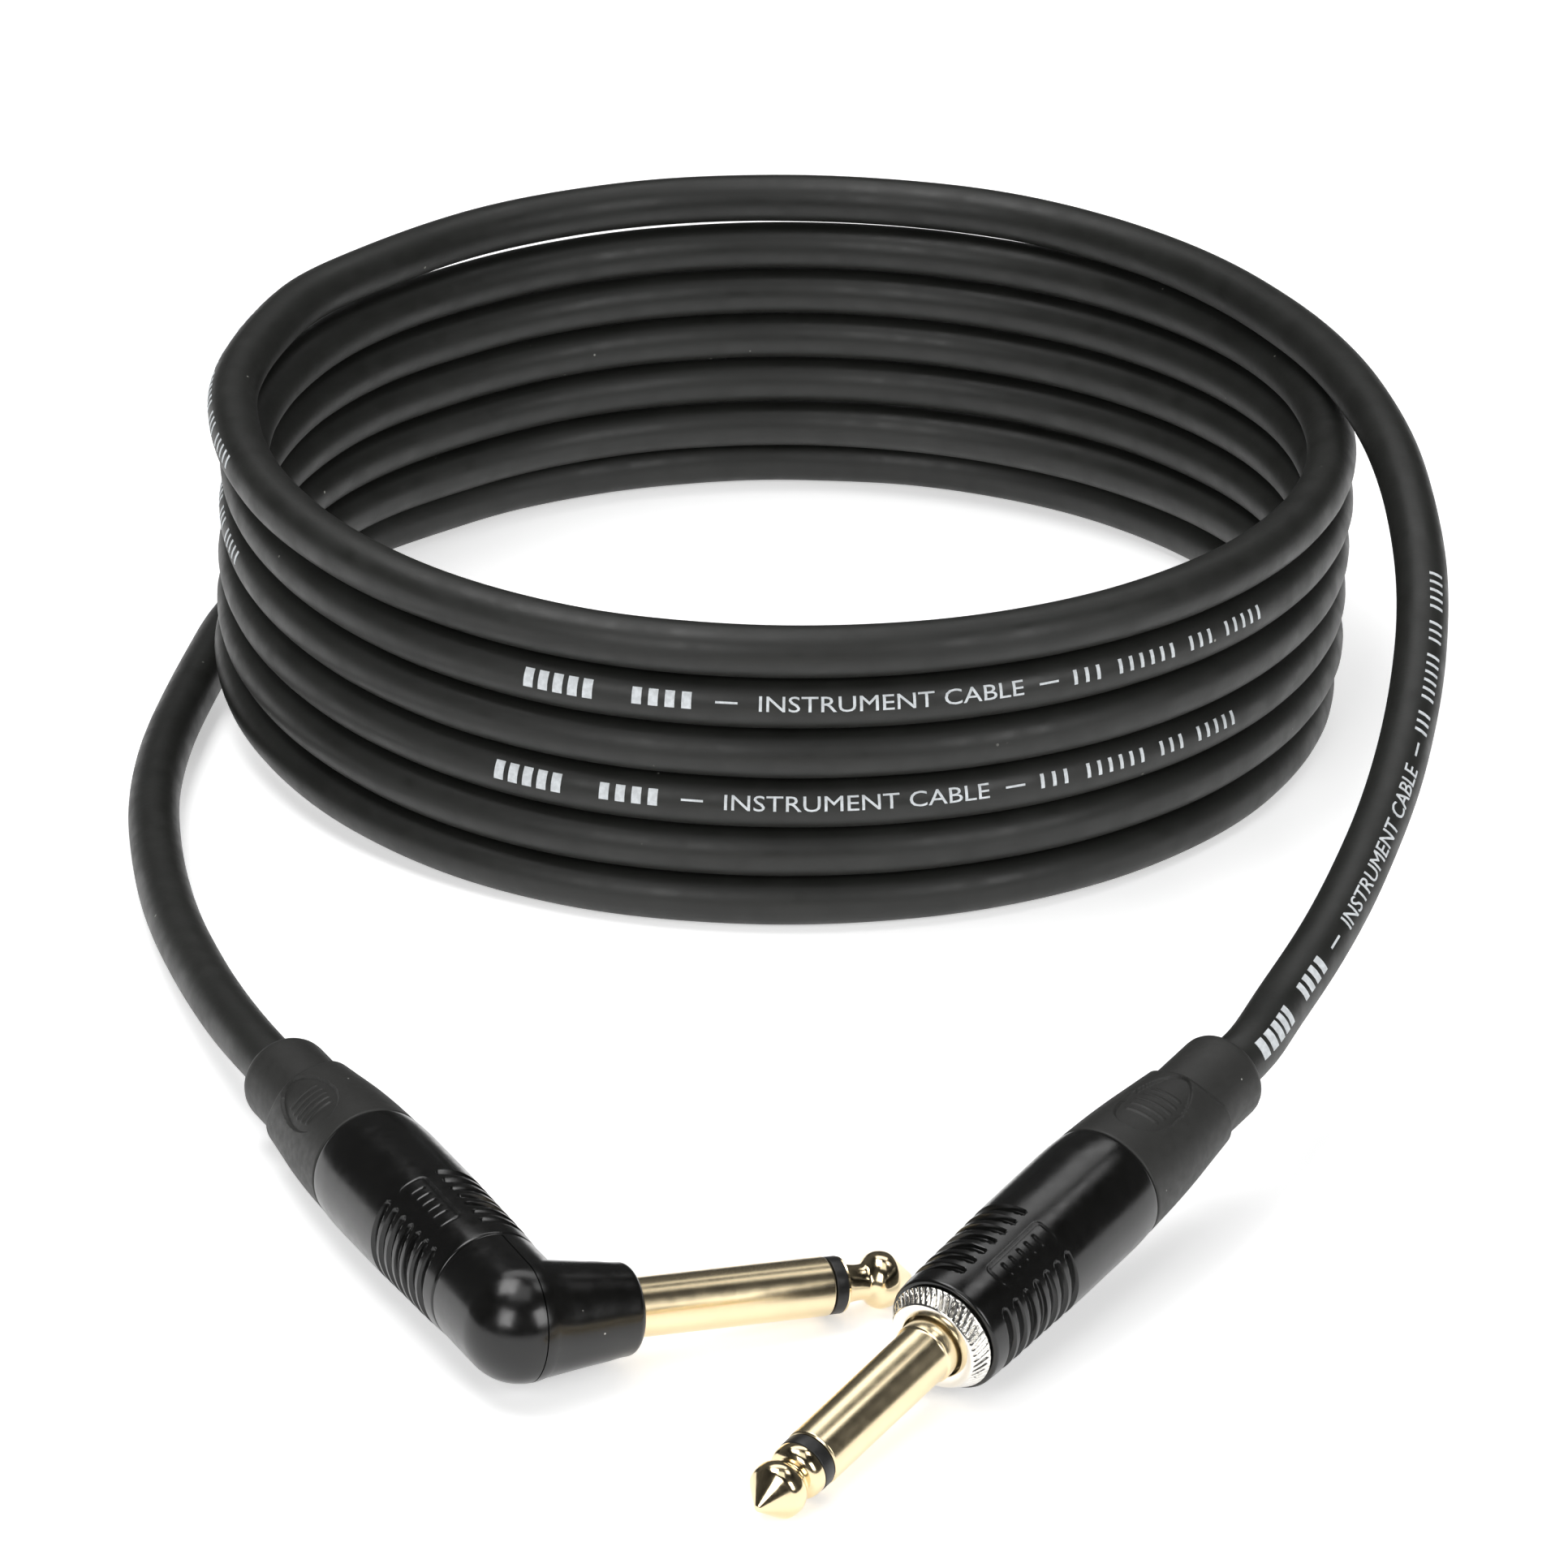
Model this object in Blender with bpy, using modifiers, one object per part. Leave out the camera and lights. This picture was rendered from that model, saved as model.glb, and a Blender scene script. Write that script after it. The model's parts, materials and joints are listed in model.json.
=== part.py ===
"""Instrument cable: a coiled lead with a straight jack plug and a right-angle jack plug.

The lead stands on the floor as a stack of turns. Both plugs lie in front of it, and each
plug is an assembly: contacts, insulators, lug, shell, chuck, gland and a screwed boot.
"""
import math

import bmesh
import bpy
from mathutils import Matrix, Vector

# Lead and coil, metres
CORD_R = 0.0031
COIL_CENTRE = Vector((0.0024, 0.1624, 0.0))
COIL_R = 0.0677
COIL_TURNS = 6
TURN_PITCH = 0.0064
GAP = 0.0003
TOP_LEVEL = CORD_R + COIL_TURNS * TURN_PITCH

# Where each plug lies: a point relative to the coil's centre, and the plug's two angles
STRAIGHT_APEX = (-0.0006, -0.2049, 0.0026)
STRAIGHT_HEADING = math.radians(234.9)
STRAIGHT_DIP = math.radians(8.3)
CORNER_POINT = (-0.0254, -0.1768, 0.0077)
ANGLE_HEADING = math.radians(-62.7)
ANGLE_RISE = math.radians(0.8)
PIN_HEADING = math.radians(25.6)
PIN_DROP = math.radians(6.35)

# Contact pin: a 6.35 mm two-contact jack, measured along its axis from the shoulder
PIN_R = 0.003175
PIN_L = 0.031
STRAIGHT_SLEEVE_END = 0.0216
STRAIGHT_RING_END = 0.0233
ANGLE_SLEEVE_END = 0.0208
ANGLE_RING_END = 0.0223
RING_R = 0.00305
NECK_R = 0.0020
ROD_R = 0.0010
TUBE_IN_R = 0.0013
TUBE_OUT_R = 0.0019
SLEEVE_BORE_R = 0.0022
COLLAR_R = 0.0034
COLLAR_END = 0.0016

# Straight plug's front
KNURL_L = 0.0020
KNURL_FACE_R = 0.0050
KNURL_REAR_R = 0.0060
KNURL_BORE_R = 0.0037
SHELL_SETBACK = 0.0023

# Shell, chuck, gland and boot, measured back from the shell's front edge
SHELL_L = 0.0302
SHELL_BORE_R = 0.0057
BOOT_L = 0.0242
SPIGOT_L = 0.0070
SPIGOT_R = 0.0054
SPIGOT_BORE_R = 0.0049
BOOT_BORE_R = 0.0045
CHUCK_BORE_R = 0.0034
GLAND_OUT_R = 0.0042
GLAND_MOUTH_R = 0.0037
GLAND_L = 0.0100
JACKET_START = 0.0245
STRAIGHT_RUN = 0.0050

# Elbow, measured from the corner where the two axes cross
ELBOW_DROP = 0.00745
PIN_BASE = 0.0143
BOSS_FACE = -0.00185
ELBOW_R = 0.0065
BOSS_ROOT_R = 0.0065
BOSS_END_R = 0.0049
ELBOW_BORE_R = 0.0050
BOSS_BORE_R = 0.0041
ELBOW_SPLIT = 0.0004

OUTER_STEPS = 32
INNER_STEPS = 20

FINISHES = {
    "cord_jacket": ((0.035, 0.037, 0.033), 0.55, 0.0),
    "gloss_black": ((0.012, 0.012, 0.012), 0.12, 0.0),
    "boot_grey": ((0.060, 0.060, 0.057), 0.60, 0.0),
    "gold_plate": ((0.880, 0.700, 0.420), 0.16, 1.0),
    "nickel_plate": ((0.800, 0.780, 0.740), 0.18, 1.0),
    "insulator_black": ((0.020, 0.020, 0.020), 0.40, 0.0),
    "insulator_white": ((0.700, 0.700, 0.670), 0.45, 0.0),
    "copper_strand": ((0.720, 0.380, 0.220), 0.30, 1.0),
}


def clear_scene():
    """Remove every object that the file starts with."""
    for obj in list(bpy.data.objects):
        bpy.data.objects.remove(obj, do_unlink=True)


def make_collections():
    """Make the two collections: the object's parts, and the cutters that shape them."""
    made = []
    for name in ("instrument_cable", "cutters"):
        collection = bpy.data.collections.new(name)
        bpy.context.scene.collection.children.link(collection)
        made.append(collection)
    return made


def make_materials():
    """Make one Principled material for each finish."""
    made = {}
    for name, (colour, roughness, metallic) in FINISHES.items():
        material = bpy.data.materials.new(name)
        material.use_nodes = True
        shader = material.node_tree.nodes["Principled BSDF"]
        shader.inputs["Base Color"].default_value = (*colour, 1.0)
        shader.inputs["Roughness"].default_value = roughness
        shader.inputs["Metallic"].default_value = metallic
        made[name] = material
    return made


clear_scene()
PARTS, CUTTERS = make_collections()
MATERIALS = make_materials()


def direction(heading, rise):
    """Unit vector at a heading round Z and a rise above the floor."""
    level = math.cos(rise)
    return Vector((level * math.cos(heading), level * math.sin(heading), math.sin(rise)))


def from_coil(x, y, z):
    """A place given from the coil's centre."""
    return COIL_CENTRE + Vector((x, y, z))


def axis_frame(name, origin, forward, side):
    """An empty whose Z runs along a plug's axis; the pieces of that plug hang on it."""
    z = forward.normalized()
    y = (side - side.dot(z) * z).normalized()
    x = y.cross(z)
    empty = bpy.data.objects.new(name, None)
    empty.empty_display_size = 0.01
    empty.matrix_world = Matrix.Translation(origin) @ Matrix((x, y, z)).transposed().to_4x4()
    CUTTERS.objects.link(empty)
    return empty


def finish(obj, material, parent, collection=None):
    """Give a piece its collection, material and parent."""
    (collection or PARTS).objects.link(obj)
    if material:
        obj.data.materials.append(MATERIALS[material])
    obj.parent = parent
    return obj


def hide_cutter(obj):
    """Mark an object as a cutter."""
    obj.hide_render = True
    obj.display_type = "WIRE"
    return obj


def arc(centre_r, centre_z, radius, start_deg, end_deg, count):
    """Points of a profile's round stretch, angles from +X towards +Z."""
    points = []
    for i in range(count + 1):
        a = math.radians(start_deg + (end_deg - start_deg) * i / count)
        points.append((centre_r + radius * math.cos(a), centre_z + radius * math.sin(a)))
    return points


def turned(name, profile, material, parent, closed, steps=INNER_STEPS, collection=None):
    """A turned piece: a profile of (radius, height) points run down its outer side."""
    mesh = bpy.data.meshes.new(name)
    edges = [(i, i + 1) for i in range(len(profile) - 1)]
    if closed:
        edges.append((len(profile) - 1, 0))
    mesh.from_pydata([(r, 0.0, z) for r, z in profile], edges, [])
    obj = finish(bpy.data.objects.new(name, mesh), material, parent, collection)
    screw = obj.modifiers.new("turn", "SCREW")
    screw.axis = "Z"
    screw.angle = 2.0 * math.pi
    screw.steps = steps
    screw.render_steps = steps
    screw.use_merge_vertices = True
    screw.merge_threshold = 0.00001
    screw.use_smooth_shade = True
    return obj


def tube(name, points, radius, material, resolution=2):
    """A round tube along world points, with filled caps."""
    curve = bpy.data.curves.new(name, "CURVE")
    curve.dimensions = "3D"
    curve.bevel_depth = radius
    curve.bevel_resolution = resolution
    curve.use_fill_caps = True
    spline = curve.splines.new("POLY")
    spline.points.add(len(points) - 1)
    for point, place in zip(spline.points, points):
        point.co = (*place, 1.0)
    return finish(bpy.data.objects.new(name, curve), material, None)


def smooth_route(points, spacing):
    """Points a set distance apart on a smooth curve through the route's own points."""
    padded = [2 * points[0] - points[1], *points, 2 * points[-1] - points[-2]]
    fine = []
    for a, b, c, d in zip(padded, padded[1:], padded[2:], padded[3:]):
        for i in range(20):
            t = i / 20
            fine.append(0.5 * (2 * b + (c - a) * t + (2 * a - 5 * b + 4 * c - d) * t * t
                               + (3 * b - a - 3 * c + d) * t * t * t))
    fine.append(points[-1])
    length = sum((q - p).length for p, q in zip(fine, fine[1:]))
    count = max(2, round(length / spacing))
    kept = [fine[0]]
    run = 0.0
    for p, q in zip(fine, fine[1:]):
        step = (q - p).length
        while len(kept) < count and run + step >= len(kept) * length / count:
            kept.append(p.lerp(q, (len(kept) * length / count - run) / step))
        run += step
    kept.append(fine[-1])
    return kept


def ring_profile(outer, inner, top, bottom):
    """A plain ring's profile, down its outer side and up its inner side."""
    return [(inner, top), (outer, top), (outer, bottom), (inner, bottom)]


def tip_contact(prefix, pin, ring_end, waist):
    """Tip, neck and the rod that runs back to the solder terminal."""
    profile = [(0.0, PIN_L), (0.0004, PIN_L - 0.0001), (0.0028, 0.0283), (0.00303, 0.0278)]
    profile += [(0.0031, 0.0272), (0.0030, 0.0266), (0.0027, 0.0260), (0.0022, 0.0255)]
    profile += [(NECK_R, 0.0252), (NECK_R, ring_end + waist + 0.0003)]
    profile += [(RING_R - 0.0003, ring_end + waist), (RING_R - 0.0001, ring_end + GAP)]
    profile += [(ROD_R, ring_end + GAP), (ROD_R, -0.0095), (0.0014, -0.0095)]
    profile += [(0.0014, -0.0120), (0.0, -0.0120)]
    return turned(prefix + "_tip_contact", profile, "gold_plate", pin, False, 24)


def tip_insulator(prefix, pin, sleeve_end, front):
    """Insulating ring between tip and sleeve, with the tube round the rod."""
    back = sleeve_end + GAP
    profile = [(TUBE_IN_R, front), (RING_R, front), (RING_R, back), (TUBE_OUT_R, back)]
    profile += [(TUBE_OUT_R, -0.0075), (TUBE_IN_R, -0.0075)]
    return turned(prefix + "_tip_insulator", profile, "insulator_black", pin, True, 24)


def sleeve_contact(prefix, pin, sleeve_end, collar_r, flange_r, flange_front):
    """Barrel of the pin, with the collar and the flange that holds it in the body."""
    flange_back = flange_front - 0.0018
    profile = [(SLEEVE_BORE_R, sleeve_end), (PIN_R - 0.0001, sleeve_end)]
    profile += [(PIN_R, sleeve_end - 0.0002), (PIN_R, COLLAR_END + 0.0002), (collar_r, COLLAR_END)]
    profile += [(collar_r, flange_front), (flange_r, flange_front), (flange_r, flange_back)]
    profile += [(0.0029, flange_back), (0.0029, -0.0072), (SLEEVE_BORE_R, -0.0072)]
    return turned(prefix + "_sleeve_contact", profile, "gold_plate", pin, True, 24)


def rear_insulator(prefix, pin):
    """Washer between the sleeve's end and the tip's solder terminal."""
    profile = ring_profile(0.0031, TUBE_IN_R, -0.0078, -0.0092)
    return turned(prefix + "_rear_insulator", profile, "insulator_white", pin, True, 16)


def ground_lug(prefix, pin, lug_front, reach, strip_r):
    """Earth terminal: a washer on the sleeve and a strip that runs back for soldering."""
    name = prefix + "_ground_lug"
    profile = ring_profile(strip_r + 0.0003, 0.0032, lug_front, lug_front - 0.0008)
    lug = turned(name, profile, "nickel_plate", pin, True, 20)
    mesh = bpy.data.meshes.new(name + "_strip")
    strip = bmesh.new()
    bmesh.ops.create_cube(strip, size=1.0)
    bmesh.ops.scale(strip, vec=(0.0006, 0.0026, reach), verts=strip.verts)
    bmesh.ops.translate(strip, vec=(strip_r, 0.0, lug_front - reach / 2 - 0.0001),
                        verts=strip.verts)
    strip.to_mesh(mesh)
    strip.free()
    joined = finish(bpy.data.objects.new(name + "_strip", mesh), None, pin, CUTTERS)
    union = lug.modifiers.new("strip", "BOOLEAN")
    union.operation = "UNION"
    union.object = hide_cutter(joined)
    return lug


def knurled_ring(pin):
    """Bright tapered ring round the foot of the straight pin."""
    profile = [(KNURL_BORE_R, 0.0), (KNURL_FACE_R, 0.0), (KNURL_FACE_R + 0.0003, -0.0001)]
    profile += [(KNURL_REAR_R, -KNURL_L + 0.0002), (KNURL_REAR_R, -KNURL_L)]
    profile += [(KNURL_BORE_R, -KNURL_L)]
    return turned("straight_knurled_ring", profile, "nickel_plate", pin, True, OUTER_STEPS)


def shell(prefix, body, front_r):
    """Black shell, slightly barrel shaped, open at both ends."""
    profile = [(SHELL_BORE_R, 0.0), (front_r - 0.0002, 0.0), (front_r, -0.0003)]
    profile += [(0.00685, -0.0090), (0.0070, -0.0160), (0.00705, -0.0230)]
    profile += [(0.0069, -SHELL_L), (SHELL_BORE_R, -SHELL_L)]
    return turned(prefix + "_shell", profile, "gloss_black", body, True, OUTER_STEPS)


def insulating_sleeve(prefix, body, front, back):
    """Thin tube that keeps the solder joints off the shell."""
    profile = ring_profile(0.0054, 0.0049, -front, -back)
    return turned(prefix + "_insulating_sleeve", profile, "insulator_white", body, True)


def chuck(prefix, body):
    """Clamping collet on the lead's jacket, pushed home by the boot."""
    front = -JACKET_START + 0.0010
    profile = [(CHUCK_BORE_R, front), (0.0042, front), (0.0045, front - 0.0050)]
    profile += [(0.0045, -SHELL_L - 0.0010), (0.0041, -SHELL_L - 0.0060)]
    profile += [(CHUCK_BORE_R, -SHELL_L - 0.0060)]
    return turned(prefix + "_chuck", profile, "insulator_white", body, True)


def boot(prefix, body):
    """Screwed boot: spigot inside the shell, waisted skirt and a collar at the lead."""
    front = -SHELL_L - GAP
    end = -SHELL_L - BOOT_L
    profile = [(SPIGOT_BORE_R, front + SPIGOT_L), (SPIGOT_R, front + SPIGOT_L)]
    profile += [(SPIGOT_R, front), (0.0069, front), (0.00675, front - 0.0050)]
    profile += [(0.0065, front - 0.0090), (0.0059, front - 0.0152), (0.0053, front - 0.0172)]
    profile += [(0.00515, end + 0.0040), (0.00515, end + 0.0006)]
    profile += [(0.0048, end), (BOOT_BORE_R, end), (BOOT_BORE_R, end + 0.0125)]
    profile += [(SPIGOT_BORE_R, end + 0.0135)]
    return turned(prefix + "_boot", profile, "boot_grey", body, True, OUTER_STEPS)


def boot_gland(prefix, body):
    """Soft ring between boot and jacket at the lead's exit, with a bell mouth for the bend."""
    end = -SHELL_L - BOOT_L
    profile = [(CHUCK_BORE_R, end + GLAND_L), (GLAND_OUT_R, end + GLAND_L)]
    profile += [(GLAND_OUT_R, end + 0.0003), (GLAND_MOUTH_R, end + 0.0003)]
    profile += [(CHUCK_BORE_R, end + 0.0038)]
    return turned(prefix + "_boot_gland", profile, "insulator_black", body, True)


def jacket_entry(body):
    """Where the jacket starts inside a plug, where it leaves the boot, and how far it is straight."""
    boot_end = SHELL_L + BOOT_L
    depths = (JACKET_START, SHELL_L, boot_end - 0.010, boot_end, boot_end + STRAIGHT_RUN)
    return [body.matrix_world @ Vector((0.0, 0.0, -depth)) for depth in depths]


def cable_end(prefix, body, core_front, terminal, lug_end):
    """The stripped end: insulated core, bare conductor and the twisted shield."""
    place = body.matrix_world
    core = ring_profile(0.0013, 0.0006, -core_front, -JACKET_START + GAP)
    turned(prefix + "_cable_core", core, "insulator_white", body, True, 16)
    start = place @ Vector((0.0, 0.0, -core_front - 0.0060))
    straight = place @ Vector((0.0, 0.0, -core_front + 0.0012))
    tube(prefix + "_conductor", [start, straight, *terminal], 0.00028, "copper_strand")
    fan = [place @ Vector(p) for p in ((0.0022, 0.0, -JACKET_START + GAP),
                                       (0.0022, 0.0, -JACKET_START + 0.0030))]
    tube(prefix + "_shield_tail", [*fan, *lug_end], 0.00045, "copper_strand")


def common_body(prefix, body, front_r, sleeve_front, sleeve_back):
    """The pieces that both plugs share behind the pin."""
    shell(prefix, body, front_r)
    insulating_sleeve(prefix, body, sleeve_front, sleeve_back)
    chuck(prefix, body)
    boot(prefix, body)
    boot_gland(prefix, body)


def straight_plug():
    """The straight plug; returns where its jacket runs."""
    forward = direction(STRAIGHT_HEADING, -STRAIGHT_DIP)
    side = Vector((-math.sin(STRAIGHT_HEADING), math.cos(STRAIGHT_HEADING), 0.0))
    shoulder = from_coil(*STRAIGHT_APEX) - PIN_L * forward
    pin = axis_frame("straight_pin_axis", shoulder, forward, side)
    body = axis_frame("straight_body_axis", shoulder - SHELL_SETBACK * forward, forward, side)
    bpy.context.view_layer.update()
    tip_contact("straight", pin, STRAIGHT_RING_END, 0.0012)
    tip_insulator("straight", pin, STRAIGHT_SLEEVE_END, STRAIGHT_RING_END)
    sleeve_contact("straight", pin, STRAIGHT_SLEEVE_END, COLLAR_R, 0.0052, -KNURL_L - GAP)
    rear_insulator("straight", pin)
    ground_lug("straight", pin, -0.0045, 0.0150, 0.0039)
    knurled_ring(pin)
    common_body("straight", body, 0.0065, 0.0030, 0.0215)
    place = body.matrix_world
    solder = [place @ Vector((0.0, 0.0, -0.0108))]
    lug_end = [place @ Vector(p) for p in ((0.0030, 0.0, -0.0190), (0.0030, 0.0, -0.0165))]
    cable_end("straight", body, 0.0130, solder, lug_end)
    return jacket_entry(body)


def elbow_solid(name, corner, pin, parent_cut, keep_front):
    """One half of the elbow: barrel, dome and boss joined, bored, and cut by one plane."""
    depth = -ELBOW_DROP + GAP
    barrel = [(0.0, 0.0), (ELBOW_R - 0.00005, 0.0), (ELBOW_R, depth), (0.0, depth)]
    half = turned(name, barrel, "gloss_black", corner, False, OUTER_STEPS)
    dome = turned(name + "_dome", arc(0.0, 0.0, ELBOW_R, 90, -90, 12), None, corner, False,
                  OUTER_STEPS, CUTTERS)
    boss_profile = [(0.0, BOSS_FACE), (BOSS_END_R - 0.0009, BOSS_FACE)]
    boss_profile += [(BOSS_END_R - 0.0002, BOSS_FACE - 0.0005), (BOSS_END_R, BOSS_FACE - 0.0013)]
    boss_profile += [(BOSS_ROOT_R, -PIN_BASE), (0.0, -PIN_BASE)]
    boss = turned(name + "_boss", boss_profile, None, pin, False, OUTER_STEPS, CUTTERS)
    bore = turned(name + "_bore", [(0.0, 0.0), (ELBOW_BORE_R, 0.0),
                                   (ELBOW_BORE_R, depth - 0.002), (0.0, depth - 0.002)],
                  None, corner, False, 24, CUTTERS)
    pocket_profile = [(0.0, -0.0032), (BOSS_BORE_R, -0.0032), (BOSS_BORE_R, -PIN_BASE - 0.001)]
    pocket_profile += [(0.0, -PIN_BASE - 0.001)]
    pocket = turned(name + "_pocket", pocket_profile, None, pin, False, 24, CUTTERS)
    hole = turned(name + "_hole", [(0.0, 0.001), (PIN_R + GAP, 0.001),
                                   (PIN_R + GAP, -0.005), (0.0, -0.005)],
                  None, pin, False, 24, CUTTERS)
    steps = [("dome", "UNION", dome), ("boss", "UNION", boss), ("bore", "DIFFERENCE", bore),
             ("pocket", "DIFFERENCE", pocket), ("hole", "DIFFERENCE", hole),
             ("split", "DIFFERENCE" if keep_front else "INTERSECT", parent_cut)]
    for label, operation, cutter in steps:
        modifier = half.modifiers.new(label, "BOOLEAN")
        modifier.operation = operation
        modifier.object = hide_cutter(cutter)
    return half


def split_block(name, pin, near):
    """A block that fills the dome's side of the elbow up to the split plane."""
    mesh = bpy.data.meshes.new(name)
    block = bmesh.new()
    bmesh.ops.create_cube(block, size=0.04)
    bmesh.ops.translate(block, vec=(0.0, 0.0, near - 0.02), verts=block.verts)
    block.to_mesh(mesh)
    block.free()
    return finish(bpy.data.objects.new(name, mesh), None, pin, CUTTERS)


def angle_plug():
    """The right-angle plug; returns where its jacket runs."""
    forward = direction(ANGLE_HEADING, ANGLE_RISE)
    pin_forward = direction(PIN_HEADING, -PIN_DROP)
    corner_place = from_coil(*CORNER_POINT)
    corner = axis_frame("angle_corner_axis", corner_place, forward, pin_forward)
    body = axis_frame("angle_body_axis", corner_place - ELBOW_DROP * forward, forward,
                      pin_forward)
    pin = axis_frame("angle_pin_axis", corner_place + PIN_BASE * pin_forward, pin_forward,
                     -forward)
    bpy.context.view_layer.update()
    tip_contact("angle", pin, ANGLE_RING_END, 0.0006)
    tip_insulator("angle", pin, ANGLE_SLEEVE_END, ANGLE_RING_END)
    sleeve_contact("angle", pin, ANGLE_SLEEVE_END, PIN_R, 0.0038, -0.0035)
    rear_insulator("angle", pin)
    ground_lug("angle", pin, -0.0056, 0.0072, 0.0034)
    front_block = split_block("angle_split_front", pin, -PIN_BASE + ELBOW_SPLIT + GAP / 2)
    rear_block = split_block("angle_split_rear", pin, -PIN_BASE + ELBOW_SPLIT - GAP / 2)
    elbow_solid("angle_elbow_housing", corner, pin, front_block, True)
    elbow_solid("angle_elbow_cover", corner, pin, rear_block, False)
    common_body("angle", body, 0.0065, 0.0010, 0.0215)
    to_pin = pin.matrix_world
    solder = [to_pin @ Vector((0.0, 0.0, -PIN_BASE)), to_pin @ Vector((0.0, 0.0, -0.0126))]
    place = body.matrix_world
    lug_end = [place @ Vector(p) for p in ((0.0026, 0.0, -0.0150), (0.0026, 0.0, 0.0010))]
    cable_end("angle", body, 0.0060, solder, lug_end)
    return jacket_entry(body)


def coil_solid():
    """The stack of turns as one turned ring."""
    top = COIL_TURNS * TURN_PITCH - GAP
    inner = COIL_R - CORD_R
    outer = COIL_R + CORD_R
    edge = CORD_R / 2
    profile = [(inner, top - edge), (inner + edge, top), (outer - edge, top)]
    profile += [(outer, top - edge), (outer, edge), (outer - edge, 0.0)]
    profile += [(inner + edge, 0.0), (inner, edge)]
    ring = turned("cable_coil", profile, "cord_jacket", None, True, 40)
    ring.location = COIL_CENTRE
    return ring


def around_coil(angle_deg, radius, z):
    """A place at an angle round the coil."""
    a = math.radians(angle_deg)
    return from_coil(radius * math.cos(a), radius * math.sin(a), z)


def straight_tail(entry):
    """The lead from the straight plug up onto the coil and round its back."""
    climb = [(0.0560, -0.1200, 0.0163), (0.0602, -0.1108, 0.0178), (0.0639, -0.1019, 0.0195),
             (0.0673, -0.0925, 0.0215), (0.0709, -0.0808, 0.0240), (0.0738, -0.0686, 0.0270),
             (0.0760, -0.0555, 0.0305), (0.0771, -0.0420, 0.0342), (0.0768, -0.0295, 0.0374),
             (0.0755, -0.0165, 0.0399), (0.0731, -0.0035, 0.0412)]
    top = [around_coil(a, r, TOP_LEVEL) for a, r in ((9, 0.0703), (20, 0.0688), (34, 0.0683),
                                                   (48, 0.0685), (65, 0.0689), (85, 0.0681),
                                                   (105, 0.0677), (125, 0.0669), (145, 0.0663))]
    route = [*entry, *[from_coil(*p) for p in climb], *top]
    return tube("cable_tail_straight", smooth_route(route, 0.0075), CORD_R, "cord_jacket", 3)


def angle_tail(entry):
    """The lead from the right-angle plug along the floor to the coil's first turn."""
    floor = [(-0.0597, -0.1090, 0.0061), (-0.0634, -0.0990, 0.0053), (-0.0667, -0.0885, 0.0044),
             (-0.0697, -0.0780, 0.0038), (-0.0722, -0.0668, 0.0033), (-0.0741, -0.0555, 0.0032),
             (-0.0753, -0.0450, 0.0032), (-0.0756, -0.0350, 0.0032), (-0.0752, -0.0250, 0.0032),
             (-0.0743, -0.0160, 0.0032)]
    route = [*entry, *[from_coil(*p) for p in floor]]
    return tube("cable_tail_angle", smooth_route(route, 0.0075), CORD_R, "cord_jacket", 3)


coil_solid()
straight_tail(straight_plug())
angle_tail(angle_plug())
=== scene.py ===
"""Looks of the instrument cable: a coiled lead with a straight and a right-angle jack plug."""
import json
import math
import random

import bmesh
import bpy
import numpy as np
from mathutils import Matrix, Vector


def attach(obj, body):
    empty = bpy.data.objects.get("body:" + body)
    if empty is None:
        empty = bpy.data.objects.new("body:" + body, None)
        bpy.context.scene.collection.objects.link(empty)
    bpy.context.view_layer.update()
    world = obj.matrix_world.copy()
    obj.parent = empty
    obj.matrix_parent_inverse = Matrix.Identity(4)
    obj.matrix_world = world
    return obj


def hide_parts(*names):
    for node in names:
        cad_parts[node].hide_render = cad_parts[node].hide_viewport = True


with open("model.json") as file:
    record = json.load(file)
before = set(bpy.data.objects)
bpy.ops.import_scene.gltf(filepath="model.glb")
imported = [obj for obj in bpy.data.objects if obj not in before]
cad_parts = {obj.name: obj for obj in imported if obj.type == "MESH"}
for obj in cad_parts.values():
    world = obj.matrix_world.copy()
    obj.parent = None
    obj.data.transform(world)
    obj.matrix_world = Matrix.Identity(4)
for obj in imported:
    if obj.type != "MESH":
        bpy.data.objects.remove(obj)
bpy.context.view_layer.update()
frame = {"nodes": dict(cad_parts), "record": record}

MM = 0.001
NODES = frame["nodes"]
SCENE = bpy.context.scene
SCENE.view_settings.view_transform = "Standard"

# ---------------------------------------------------------------- dimensions from part.py
COIL_CENTRE = Vector((0.0024, 0.1624, 0.0))
COIL_R = 0.0677
COIL_TURNS = 6
TURN_PITCH = 0.0064
CORD_R = 0.0031
TOP_LEVEL = CORD_R + COIL_TURNS * TURN_PITCH
STRAIGHT_APEX = Vector((-0.0006, -0.2049, 0.0026))
STRAIGHT_HEADING = math.radians(234.9)
STRAIGHT_DIP = math.radians(8.3)
CORNER_POINT = Vector((-0.0254, -0.1768, 0.0077))
ANGLE_HEADING = math.radians(-62.7)
ANGLE_RISE = math.radians(0.8)
PIN_HEADING = math.radians(25.6)
PIN_DROP = math.radians(6.35)
PIN_L = 31.0
SHELL_SETBACK = 0.0023
SHELL_L = 30.2
BOOT_L = 24.2
ELBOW_DROP = 7.45
PIN_BASE = 14.3
ELBOW_SPLIT = 0.4
JACKET_START = 24.5
SEAM_GAP = 0.14
ELBOW_R = 6.5


def direction(heading, rise):
    """A unit vector from a compass heading and a rise above the level."""
    return Vector((math.cos(rise) * math.cos(heading), math.cos(rise) * math.sin(heading),
                   math.sin(rise)))


def axis_matrix(origin, forward, side):
    """Local axes in millimetres: +Z along forward, +Y to the side."""
    z = forward.normalized()
    y = (side - side.dot(z) * z).normalized()
    x = y.cross(z)
    turn = Matrix((x, y, z)).transposed().to_4x4()
    return Matrix.Translation(origin) @ turn @ Matrix.Scale(MM, 4)


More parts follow.
